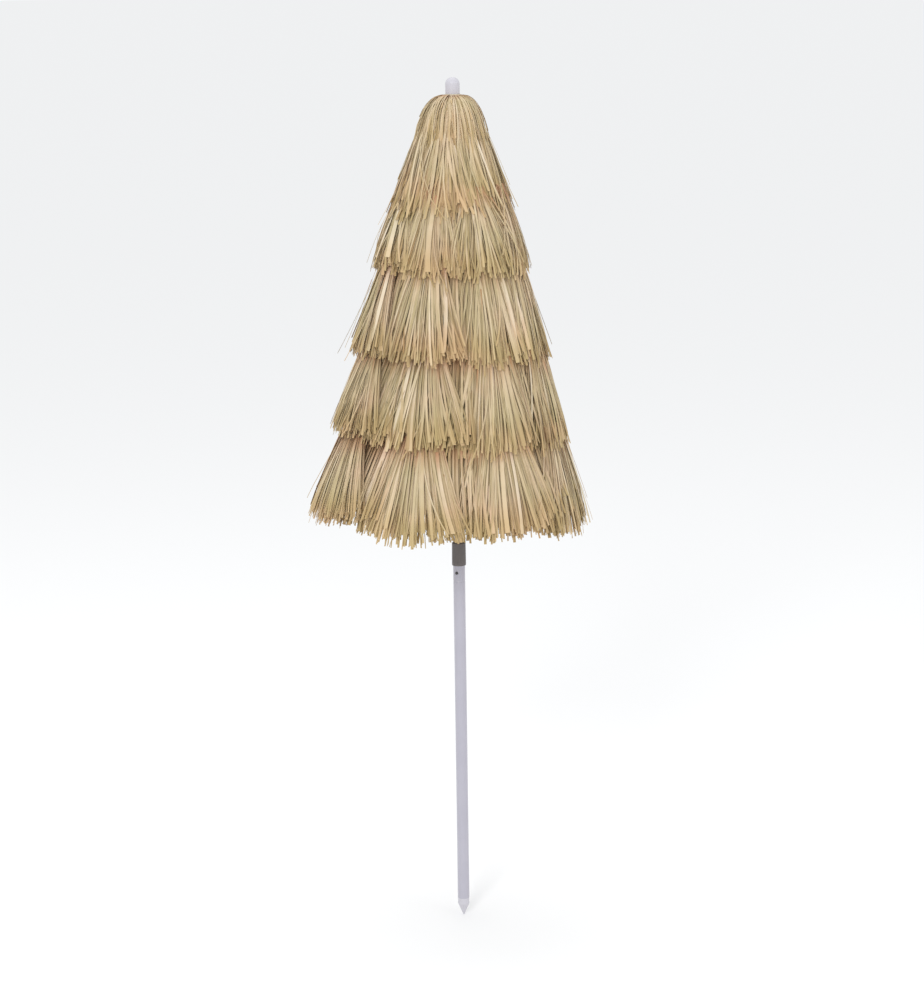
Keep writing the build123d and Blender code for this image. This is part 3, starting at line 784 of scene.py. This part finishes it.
        # painted shade: buried strands and the valleys between locks are stored darker
        flow = self._store(flow, "shade", "FLOAT", "POINT",
                           v("Shade") - buried * 0.14 - side * side * v("Lock Depth") * 7.0)
        bend = w.put(w.add("GeometryNodeSetPosition"), {"Geometry": flow, "Position": place})
        together = w.add("GeometryNodeJoinGeometry")
        w.plug(together.inputs[0], bend.outputs[0])
        w.plug(together.inputs[0], self.source.outputs["Geometry"])
        final = w.add("GeometryNodeRealizeInstances")
        w.plug(final.inputs[0], together.outputs[0])
        dressed = w.put(w.add("GeometryNodeSetMaterial"),
                        {"Geometry": final.outputs[0], "Material": self.source.outputs["Finish"]})
        result = w.add("NodeGroupOutput")
        w.plug(result.inputs[0], dressed.outputs[0])

    def lay(self, name: str, layers: Sequence[Layer], base: bpy.types.Mesh | None = None) -> bpy.types.Mesh:
        """Lay layers of strands as one plain mesh.

        Args:
            name: the mesh's name.
            layers: the layers, innermost first.
            base: strands that are there already.

        Returns:
            The mesh.
        """
        maker = place_mesh(name + ".maker", base or bpy.data.meshes.new(name + ".maker"))
        keys = {item.name: item.identifier for item in self.tree.interface.items_tree
                if item.item_type == "SOCKET" and item.in_out == "INPUT"}
        for layer in layers:
            modifier = maker.modifiers.new("strands", "NODES")
            modifier.node_group = self.tree
            for socket in self.floats:
                modifier[keys[socket]] = float(getattr(layer, socket.lower().replace(" ", "_")))
            for socket in self.vectors:
                radius, height = getattr(layer, socket.lower())
                modifier[keys[socket]] = (radius, 0.0, height)
            modifier[keys["Strands"]] = layer.strands
            modifier[keys["Seed"]] = layer.seed
            modifier[keys["Locks"]] = layer.locks
            modifier[keys["Finish"]] = self.finish
        graph = bpy.context.evaluated_depsgraph_get()
        mesh = bpy.data.meshes.new_from_object(maker.evaluated_get(graph), preserve_all_data_layers=True,
                                               depsgraph=graph)
        mesh.name = name
        bpy.data.objects.remove(maker)
        return mesh


@dataclass(frozen=True)
class Tier:
    """One tier of thatch, folded: its path in radius and height, and how full it is. Angles are in degrees."""

    root: Pair
    shoulder: Pair
    fall: Pair
    tip: Pair
    gore_locks: int
    gore_cover: int
    rib_cover: int
    root_angle: float
    tip_angle: float
    lock_depth: float
    lock_lift: float
    rib_inset: float
    flare: float
    rise: float
    lean: float
    ragged: float
    hang: tuple[float, ...] = (0.0,) * 8

    def layers(self, leaf: Leaf, chance: random.Random) -> list[Layer]:
        """Return the tier's layers on one leaf.

        Args:
            leaf: the leaf.
            chance: where small differences between leaves come from.

        Returns:
            The layers, innermost first.
        """
        side = math.cos(leaf.azimuth - math.pi)
        swell = self.flare * side + chance.uniform(-0.004, 0.004)
        here, before = self.hang[leaf.number - 1], self.hang[leaf.number - 2]
        hang = here if leaf.kind is LeafKind.GORE else (here + before) / 2
        lift = self.rise * side + hang + chance.uniform(-0.005, 0.005)
        tip = (self.tip[0] + swell, self.tip[1] + lift)
        fall = (self.fall[0] + swell * 0.8, self.fall[1] + lift * 0.6)
        shoulder = (self.shoulder[0] + swell * 0.6, self.shoulder[1] + lift * 0.3)
        lean = math.radians(self.lean)
        shared = {"azimuth": leaf.azimuth, "root": (self.root[0] + swell * 0.4, self.root[1]),
                  "shoulder": shoulder, "lean": lean, "ragged": self.ragged}
        root_fill = leaf.half_angle(self.root[0], self.root[1], 1.08)
        tip_fill = leaf.half_angle(self.tip[0], self.tip[1], 1.06)
        base = chance.randrange(1, 100000)
        if leaf.kind is LeafKind.RIB:
            shorter = (tip[0] - self.rib_inset * 0.3, tip[1] + self.lock_lift * 0.75)
            return [Layer(self.rib_cover, base, root_angle=root_fill, tip_angle=tip_fill, fall=fall, tip=shorter,
                          inset=self.rib_inset, locks=7, shade=0.92, width=0.0052, **shared)]
        fan = {"root_angle": math.radians(self.root_angle), "tip_angle": math.radians(self.tip_angle),
               "fall": fall, "tip": tip}
        few = max(5, self.gore_locks // 11)
        return [
            Layer(self.gore_cover, base, root_angle=root_fill, tip_angle=tip_fill, fall=fall, tip=tip,
                  inset=self.rib_inset * 0.8, locks=6, shade=0.90, lock_lift=self.lock_lift, width=0.0058,
                  **shared),
            Layer(self.gore_locks, base + 31, locks=9, lock_depth=self.lock_depth, lock_lift=self.lock_lift,
                  **fan, **shared),
            Layer(few, base + 53, inset=-0.001, locks=3, lock_depth=self.lock_depth * 0.8, start=0.25,
                  lock_lift=self.lock_lift, width=0.0085, tone=0.20, **fan, **shared),
            Layer((few * 3) // 4, base + 77, inset=-0.002, locks=3, lock_depth=self.lock_depth * 0.7, start=0.45,
                  lock_lift=self.lock_lift, curl=0.018, width=0.0034, tone=0.12,
                  **fan, **{**shared, "lean": lean * 2.6, "ragged": self.ragged * 1.8}),
        ]


TIERS = (
    Tier((0.046, 1.924), (0.082, 1.900), (0.106, 1.802), (0.138, 1.714), 96, 34, 62,
         13, 22, 0.004, 0.006, 0.004, 0.006, 0.006, 14.0, 0.11),
    Tier((0.118, 1.762), (0.144, 1.698), (0.170, 1.640), (0.181, 1.574), 104, 40, 72,
         14, 25, 0.008, 0.010, 0.008, 0.012, 0.006, 9.0, 0.08),
    Tier((0.156, 1.610), (0.186, 1.532), (0.212, 1.450), (0.232, 1.376), 132, 54, 90,
         14, 26, 0.014, 0.014, 0.012, 0.014, 0.010, 6.0, 0.06),
    Tier((0.204, 1.410), (0.234, 1.334), (0.260, 1.262), (0.278, 1.184), 166, 68, 112,
         14, 26, 0.019, 0.020, 0.016, 0.020, 0.022, 4.4, 0.055),
    Tier((0.252, 1.214), (0.280, 1.140), (0.306, 1.070), (0.325, 0.988), 216, 88, 140,
         14, 26, 0.022, 0.026, 0.020, 0.024, 0.0, 3.0, 0.05,
         (0.010, -0.015, -0.013, 0.002, 0.002, 0.018, 0.022, 0.002)),
)


@dataclass
class Thatch:
    """The five tiers of raffia and the tuft round the top."""

    trees: StrandTree
    tiers: tuple[Tier, ...] = TIERS
    keep: float = 0.13
    tuft_strands: int = 72
    chance: random.Random = field(default_factory=lambda: random.Random(20))

    def build(self) -> None:
        """Lay every leaf's thatch and hand it to its bodies, then lay the tuft."""
        for leaf in all_leaves():
            self._leaf(leaf)
        for leaf in all_leaves():
            self._tuft(leaf)

    def _leaf(self, leaf: Leaf) -> None:
        """Lay one leaf's thatch, and part it at the hem."""
        layers = [layer for tier in self.tiers for layer in tier.layers(leaf, self.chance)]
        mesh = self.trees.lay(f"leaf_{leaf.body}", layers)
        hanging = mesh.copy()
        hanging.name = f"hanging_thatch_{leaf.body}"
        self._part(mesh, leaf, keep_above=True)
        self._part(hanging, leaf, keep_above=False)
        mesh = self.trees.lay(f"thatch_{leaf.body}", [self._hem_row(leaf)], mesh)
        upper = self._finish(place_mesh(mesh.name, mesh), leaf, leaf.body)
        lower = self._finish(place_mesh(hanging.name, hanging), leaf, leaf.hem_body)
        if leaf.kind is LeafKind.GORE:
            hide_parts(f"gore_{leaf.number}")
        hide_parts(leaf.hem_body)
        log.info("%s: %d faces, %s: %d faces", upper.name, len(mesh.polygons), lower.name, len(hanging.polygons))

    def _hem_row(self, leaf: Leaf) -> Layer:
        """Return the short strands sewn over one leaf's hem, inside the others."""
        points = []
        for down in (0.790, 0.830, 0.870, 0.910):
            upright = 0.262 if leaf.kind is LeafKind.GORE else 0.240
            radius = upright - (CLOTH_LENGTH - down) * 0.22
            points.append((radius, CROWN_HEIGHT - (down - (radius - PIVOT_RADIUS) * math.sin(leaf.lean))
                           / math.cos(leaf.lean)))
        angle = leaf.half_angle(0.275, 1.060, 1.01)
        return Layer(84, self.chance.randrange(1, 100000), leaf.azimuth, angle, angle, *points, scatter=0.004,
                     ragged=0.02, start=0.0, lock_depth=-0.027, locks=7, lean=math.radians(1.0), curl=0.002,
                     width=0.0062, shade=1.0)

    def _finish(self, piece: bpy.types.Object, leaf: Leaf, body: str) -> bpy.types.Object:
        """Let a piece of thatch ride with the given body, and return it."""
        leaf.flatten(piece, self.keep)
        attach(piece, body)
        return piece

    @staticmethod
    def _part(mesh: bpy.types.Mesh, leaf: Leaf, keep_above: bool) -> None:
        """Cut a mesh square to its leaf at the hem, and close the cut ends.

        Args:
            mesh: the leaf's thatch.
            leaf: the leaf.
            keep_above: True to keep what lies on the leaf, False to keep what hangs below it.
        """
        bm = bmesh.new()
        bm.from_mesh(mesh)
        cut = bmesh.ops.bisect_plane(bm, geom=bm.verts[:] + bm.edges[:] + bm.faces[:], plane_co=leaf.hem,
                                     plane_no=leaf.slope, clear_outer=keep_above, clear_inner=not keep_above)
        edges = [e for e in cut["geom_cut"] if isinstance(e, bmesh.types.BMEdge) and e.is_boundary]
        bmesh.ops.holes_fill(bm, edges=edges, sides=0)
        bm.to_mesh(mesh)
        bm.free()

    def _tuft(self, leaf: Leaf) -> None:
        """Lay the tuft's strands over one leaf, bending from the pole to the leaf."""
        base = self.chance.randrange(1, 100000)
        swell = 0.005 * math.cos(leaf.azimuth - math.pi) - 0.002
        shared = {"azimuth": leaf.azimuth, "root_angle": math.radians(11.2), "tip_angle": math.radians(15)}
        layers = [
            Layer(self.tuft_strands // 2, base, root=(0.021, 1.9540), shoulder=(0.046, 1.956),
                  fall=(0.070 + swell, 1.928), tip=(0.082 + swell, 1.868), scatter=0.005, ragged=0.22, shade=0.88,
                  locks=3, curl=0.003, width=0.0046, start=0.0, **shared),
            Layer(self.tuft_strands // 2, base + 9, root=(0.018, 1.9600), shoulder=(0.048, 1.9640),
                  fall=(0.075 + swell, 1.936), tip=(0.089 + swell, 1.856), scatter=0.006, ragged=0.42, locks=5,
                  curl=0.003, width=0.0038, start=0.10, lean=math.radians(10.0), tone=0.06, **shared),
        ]
        mesh = self.trees.lay(f"tuft_{leaf.body}", layers)
        piece = place_mesh(mesh.name, mesh)
        if leaf.kind is LeafKind.GORE and leaf.number == 1:
            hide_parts("canopy_top")
        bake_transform(piece)
        log.info("%s: %d faces", piece.name, len(mesh.polygons))


# ---- cloth


@dataclass
class Canopy:
    """The cloth under the thatch, in sixteen joined panels, gathered round the pole."""

    finish: bpy.types.Material
    start: float = 0.030
    thickness: float = 0.0007
    hem_width: float = 0.018
    keep: float = 0.05
    rows: int = 30
    columns: int = 16

    def build(self) -> None:
        """Make each panel and hand it to its leaf."""
        for leaf in all_leaves():
            mesh, area = self._panel(leaf)
            mesh.materials.append(self.finish)
            piece = place_mesh(mesh.name, mesh)
            2 * leaf.half_width(CLOTH_LENGTH)
            leaf.flatten(piece, self.keep)
            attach(piece, leaf.body)
            log.info("%s: %.3f square metres of cloth", piece.name, area)

    def _panel(self, leaf: Leaf) -> tuple[bpy.types.Mesh, float]:
        """Make one panel.

        Args:
            leaf: the leaf that it lines.

        Returns:
            The panel's mesh, and the area of its flat cut.
        """
        bm = bmesh.new()
        sheet_uv = bm.loops.layers.uv.new("flat_cut")
        flat: dict[bmesh.types.BMVert, Pair] = {}
        grid: list[list[bmesh.types.BMVert]] = []
        area = 0.0
        step = (CLOTH_LENGTH - self.start) / self.rows
        for row in range(self.rows + 1):
            down = self.start + step * row
            half = leaf.half_width(down)
            area += 2 * half * step * (0.5 if row in (0, self.rows) else 1.0)
            share = down / CLOTH_LENGTH
            height = CROWN_HEIGHT - down * math.cos(math.radians(LEANS["gore"]))
            radius = 0.033 + (CROWN_HEIGHT - height) * math.tan(math.radians(LEANS["gore"]))
            if leaf.kind is LeafKind.RIB:
                radius -= 0.004 + 0.014 * share
            line = []
            for column in range(self.columns + 1):
                across = 2 * column / self.columns - 1
                width = across * half
                angle = math.asin(max(-0.95, min(0.95, width / radius)))
                bulge = 0.004 * share * (1 - across * across)
                far = radius + bulge + 0.008 * share * across
                turn = leaf.azimuth + angle
                vert = bm.verts.new((far * math.cos(turn), far * math.sin(turn), height))
                flat[vert] = (width, down)
                line.append(vert)
            grid.append(line)
        for low, high in zip(grid, grid[1:]):
            for i in range(self.columns):
                face = bm.faces.new((low[i], high[i], high[i + 1], low[i + 1]))
                face.smooth = True
                for loop in face.loops:
                    loop[sheet_uv].uv = flat[loop.vert]
        bmesh.ops.recalc_face_normals(bm, faces=bm.faces[:])
        middle = bm.faces[len(bm.faces) // 2]
        if middle.normal.dot(leaf.outward) < 0:
            bmesh.ops.reverse_faces(bm, faces=bm.faces[:])
        bmesh.ops.solidify(bm, geom=bm.faces[:], thickness=self.thickness)
        bmesh.ops.recalc_face_normals(bm, faces=bm.faces[:])
        mesh = bpy.data.meshes.new(f"cloth_{leaf.body}")
        bm.to_mesh(mesh)
        bm.free()
        return mesh, area


# ---- crown


@dataclass
class CrownTop:
    """The round of cloth at the crown and the washer under the finial."""

    cloth: bpy.types.Material
    washer: bpy.types.Material
    disc_radius: float = 0.034
    disc_height: float = 1.9372
    washer_radius: float = 0.0195
    washer_bottom: float = 1.9560
    washer_top: float = 1.9618

    def build(self) -> None:
        """Make the two pieces and fix them to the upper pole."""
        disc = [(0.0, self.disc_height), (self.disc_radius - 0.0006, self.disc_height),
                (self.disc_radius, self.disc_height + 0.0004), (self.disc_radius - 0.0006, self.disc_height + 0.0008),
                (0.0, self.disc_height + 0.0008)]
        cloth = self._fix("crown_disc", disc, self.cloth, "canopy_cloth")
        r, low, high = self.washer_radius, self.washer_bottom, self.washer_top
        washer = [(0.0, low), (r - 0.0012, low), (r - 0.0004, low + 0.0004), (r, low + 0.0014), (r, high - 0.0014),
                  (r - 0.0004, high - 0.0004), (r - 0.0012, high), (0.0, high)]
        self._fix("tuft_washer", washer, self.washer, "raffia")

    @staticmethod
    def _fix(name: str, profile: Sequence[Pair], finish: bpy.types.Material, slot: str) -> bpy.types.Object:
        """Turn one profile, let it ride on the upper pole, and return it."""
        mesh = turned_mesh(name, profile)
        mesh.materials.append(finish)
        piece = place_mesh(name, mesh)
        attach(piece, "upper_pole")
        log.info("%s: %d faces", name, len(mesh.polygons))
        return piece


# ---- hard parts


@dataclass
class HardParts:
    """The poles, spike, collar, hubs, runner, ribs and stretchers, which keep their CAD shapes."""

    finishes: Finishes

    def dress(self) -> None:
        """Give each CAD node its finish."""
        single = {"lower_tube": "pole_enamel", "upper_tube": "pole_enamel", "ground_spike": "white_moulding",
                  "upper_foot": "white_moulding", "finial": "white_moulding", "pole_collar": "collar_moulding",
                  "snap_button": "button_moulding", "crown_hub": "crown_moulding", "runner": "runner_moulding",
                  "runner_catch": "hub_moulding"}
        for number in range(1, 9):
            single[f"rib_{number}"] = "rib_enamel"
            single[f"stretcher_{number}"] = "rib_enamel"
            single[f"rib_fittings_{number}"] = "hub_moulding"
        for node, finish in single.items():
            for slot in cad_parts[node].material_slots:
                slot.material = self.finishes.hard[finish]
            log.info("%s: %s", node, finish)


@dataclass(frozen=True)
class LeafSpring:
    """One of the two leaf springs inside the upper tube, which gives way when its button or catch is pressed."""

    name: str
    joint: str
    azimuth: float
    travel: float
    below: float
    above: float

    def build(self, finish: bpy.types.Material) -> None:
        """Copy the spring's shape and let it ride on the upper pole.

        Args:
            finish: the spring's metal.
        """
        bm = bmesh.new()
        bm.from_mesh(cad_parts["leaf_springs"].data)
        bmesh.ops.remove_doubles(bm, verts=bm.verts[:], dist=1e-6)
        others = [v for v in bm.verts if not self.below < v.co.z < self.above]
        bmesh.ops.delete(bm, geom=others, context="VERTS")
        mesh = bpy.data.meshes.new(self.name)
        bm.to_mesh(mesh)
        bm.free()
        mesh.materials.clear()
        mesh.materials.append(finish)
        piece = place_mesh(self.name, mesh)
        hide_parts("leaf_springs")
        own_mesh(piece)
        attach(piece, "upper_pole")
        log.info("%s: %d faces", self.name, len(mesh.polygons))


BETWEEN_SPRINGS = 1.1
LEAF_SPRINGS = (
    LeafSpring("button_spring", "snap_button_press", math.radians(246.0), 0.004, 0.5, BETWEEN_SPRINGS),
    LeafSpring("catch_spring", "runner_catch_press", math.radians(292.5), 0.0055, BETWEEN_SPRINGS, 1.9),
)


# ---- studio


@dataclass
class Studio:
    """The camera, the soft lights and the pale floor."""

    camera_place: tuple[float, float, float] = (0.009, -6.2, 2.2)
    aim: tuple[float, float, float] = (0.009, 0.0, 1.0189)
    lens: float = 96.82
    roll: float = math.radians(-0.78)

    def set_camera(self) -> None:
        """Set up the camera."""
        camera = bpy.data.cameras.new("camera")
        camera.lens, camera.sensor_width, camera.sensor_fit = self.lens, 36.0, "AUTO"
        camera.clip_end = 3000.0
        eye = bpy.data.objects.new("camera", camera)
        bpy.context.scene.collection.objects.link(eye)
        eye.location = self.camera_place
        look = (Vector(self.aim) - Vector(self.camera_place)).to_track_quat("-Z", "Y")
        eye.rotation_mode = "QUATERNION"
        eye.rotation_quaternion = look @ Quaternion((0.0, 0.0, 1.0), self.roll)
        bpy.context.scene.camera = eye

    def set_lights(self) -> None:
        """Set up a large soft key light, a fill and an even surround."""
        self._panel("key_light", (-1.7, -7.0, 4.7), 1.6, 170.0)
        self._panel("fill_light", (4.5, -3.5, 3.4), 3.0, 25.0)
        self._panel("top_light", (-0.5, 1.0, 5.5), 3.5, 40.0)
        world = bpy.data.worlds.new("surround")
        world.use_nodes = True
        shade = world.node_tree.nodes["Background"]
        shade.inputs[0].default_value = (0.98, 0.99, 1.0, 1.0)
        shade.inputs[1].default_value = 0.95
        bpy.context.scene.world = world
        bpy.context.scene.view_settings.view_transform = "Standard"

    def lay_floor(self) -> None:
        """Lay a plain pale floor, which isn't part of the object."""
        mesh = bpy.data.meshes.new("floor")
        side = FLOOR_HALF_SIDE
        mesh.from_pydata([(-side, -side, 0), (side, -side, 0), (side, side, 0), (-side, side, 0)], [], [(0, 1, 2, 3)])
        floor = place_mesh("floor", mesh)
        material = bpy.data.materials.new("floor_white")
        material.use_nodes = True
        shader = material.node_tree.nodes["Principled BSDF"]
        shader.inputs["Base Color"].default_value = (0.93, 0.93, 0.93, 1.0)
        shader.inputs["Roughness"].default_value = 0.95
        shader.inputs["Specular IOR Level"].default_value = 0.0
        mesh.materials.append(material)

    @staticmethod
    def _panel(name: str, place: tuple[float, float, float], size: float, power: float) -> None:
        """Hang one square soft light, aimed at the middle of the umbrella."""
        light = bpy.data.lights.new(name, "AREA")
        light.size, light.energy = size, power
        lamp = bpy.data.objects.new(name, light)
        bpy.context.scene.collection.objects.link(lamp)
        lamp.location = place
        lamp.rotation_mode = "QUATERNION"
        lamp.rotation_quaternion = (Vector((0.0, 0.0, 1.0)) - Vector(place)).to_track_quat("-Z", "Y")


def main() -> None:
    """Build the umbrella's looks in order."""
    studio = Studio()
    studio.set_camera()
    finishes = Finishes()
    HardParts(finishes).dress()
    for spring in LEAF_SPRINGS:
        spring.build(finishes.hard["zinc_plate"])
    Thatch(StrandTree(finishes.raffia)).build()
    Canopy(finishes.cloth).build()
    CrownTop(finishes.cloth, finishes.cloth).build()
    studio.set_lights()
    studio.lay_floor()
    bpy.context.view_layer.update()


if __name__ == "__main__":
    main()
